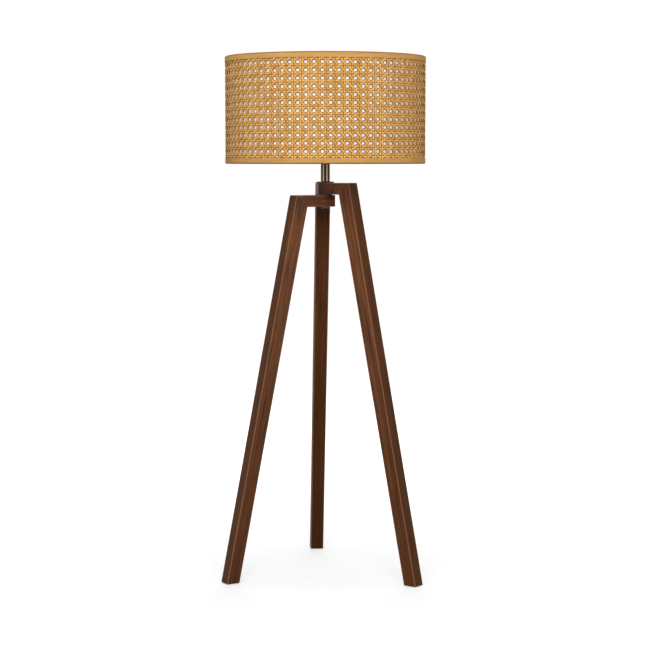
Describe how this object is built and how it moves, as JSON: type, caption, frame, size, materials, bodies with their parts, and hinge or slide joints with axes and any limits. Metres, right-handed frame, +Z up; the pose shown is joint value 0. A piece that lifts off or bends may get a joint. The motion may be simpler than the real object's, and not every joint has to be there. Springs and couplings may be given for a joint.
{
  "type": "floor lamp",
  "caption": "Wooden tripod floor lamp with a swivelling leg, a bronze stem and a drum shade of woven cane webbing.",
  "frame": {"origin": "floor level, at the middle of the lamp's bounding box; the stem's axis stands 19.6 mm in front of it", "axes": "+Z up along the stem; the front of the lamp, as pictured, faces -Y; +X is to the right seen from the front"},
  "size_m": [0.508, 0.5391, 1.2998],
  "materials": {
    "wood": "dark walnut stain under satin lacquer",
    "dowel_wood": "unfinished",
    "felt": "matt",
    "fibre": "matt",
    "zinc": "zinc plated",
    "bronze": "dark bronze, polished",
    "black_metal": "satin black",
    "black_plastic": "satin",
    "ceramic": "glazed",
    "brass": "plain",
    "white_wire": "white powder coat",
    "liner": "smooth white film",
    "cane": "natural cane, satin",
    "trim": "woven tape",
    "bulb_glass": "clear",
    "bulb_metal": "nickel plated",
    "filament": "phosphor coated"
  },
  "bodies": {
    "stand": {"right_post": "wood", "right_arm": "wood", "right_dowel_1": "dowel_wood", "right_dowel_2": "dowel_wood", "right_foot_pad": "felt", "rear_post": "wood", "rear_arm": "wood", "rear_dowel_1": "dowel_wood", "rear_dowel_2": "dowel_wood", "rear_foot_pad": "felt", "threaded_rod": "zinc", "swivel_washer": "fibre", "nut_washer": "zinc", "clamp_nut": "zinc", "cord_outlet": "black_plastic", "stem_flange": "black_metal", "stem_tube": "bronze", "stem_collar": "bronze", "lampholder_cap": "black_plastic", "lampholder_barrel": "black_plastic", "lampholder_insert": "ceramic", "lampholder_shell": "brass", "centre_contact": "brass"},
    "left_leg": {"left_post": "wood", "left_arm": "wood", "left_dowel_1": "dowel_wood", "left_dowel_2": "dowel_wood", "left_foot_pad": "felt"},
    "shade": {"shade_carrier": "white_wire", "bottom_wire_ring": "white_wire", "top_wire_ring": "white_wire", "shade_liner": "liner", "cane_webbing": "cane", "bottom_trim": "trim", "top_trim": "trim"},
    "shade_ring": {"shade_ring": "black_plastic"},
    "bulb": {"bulb_envelope": "bulb_glass", "bulb_cap": "bulb_metal", "bulb_insulator": "black_plastic", "bulb_tip": "bulb_metal", "bulb_stem": "bulb_glass", "bulb_filament_1": "filament", "bulb_filament_2": "filament", "bulb_filament_3": "filament", "bulb_filament_4": "filament"}
  },
  "joints": [
    {"name": "left_leg_swivel", "type": "hinge", "parent": "stand", "child": "left_leg", "pos_m": [0, -0.01961, 0.942], "axis": [0, 0, 1], "range_deg": [-68, 66]},
    {"name": "shade_turn", "type": "hinge", "parent": "stand", "child": "shade", "pos_m": [0, -0.01961, 1.07], "axis": [0, 0, 1], "continuous": true},
    {"name": "shade_ring_lift", "type": "slide", "parent": "stand", "child": "shade_ring", "axis": [0, 0, 1], "range_m": [0, 0.03]},
    {"name": "bulb_lift", "type": "slide", "parent": "stand", "child": "bulb", "axis": [0, 0, 1], "range_m": [0, 0.04]}
  ]
}
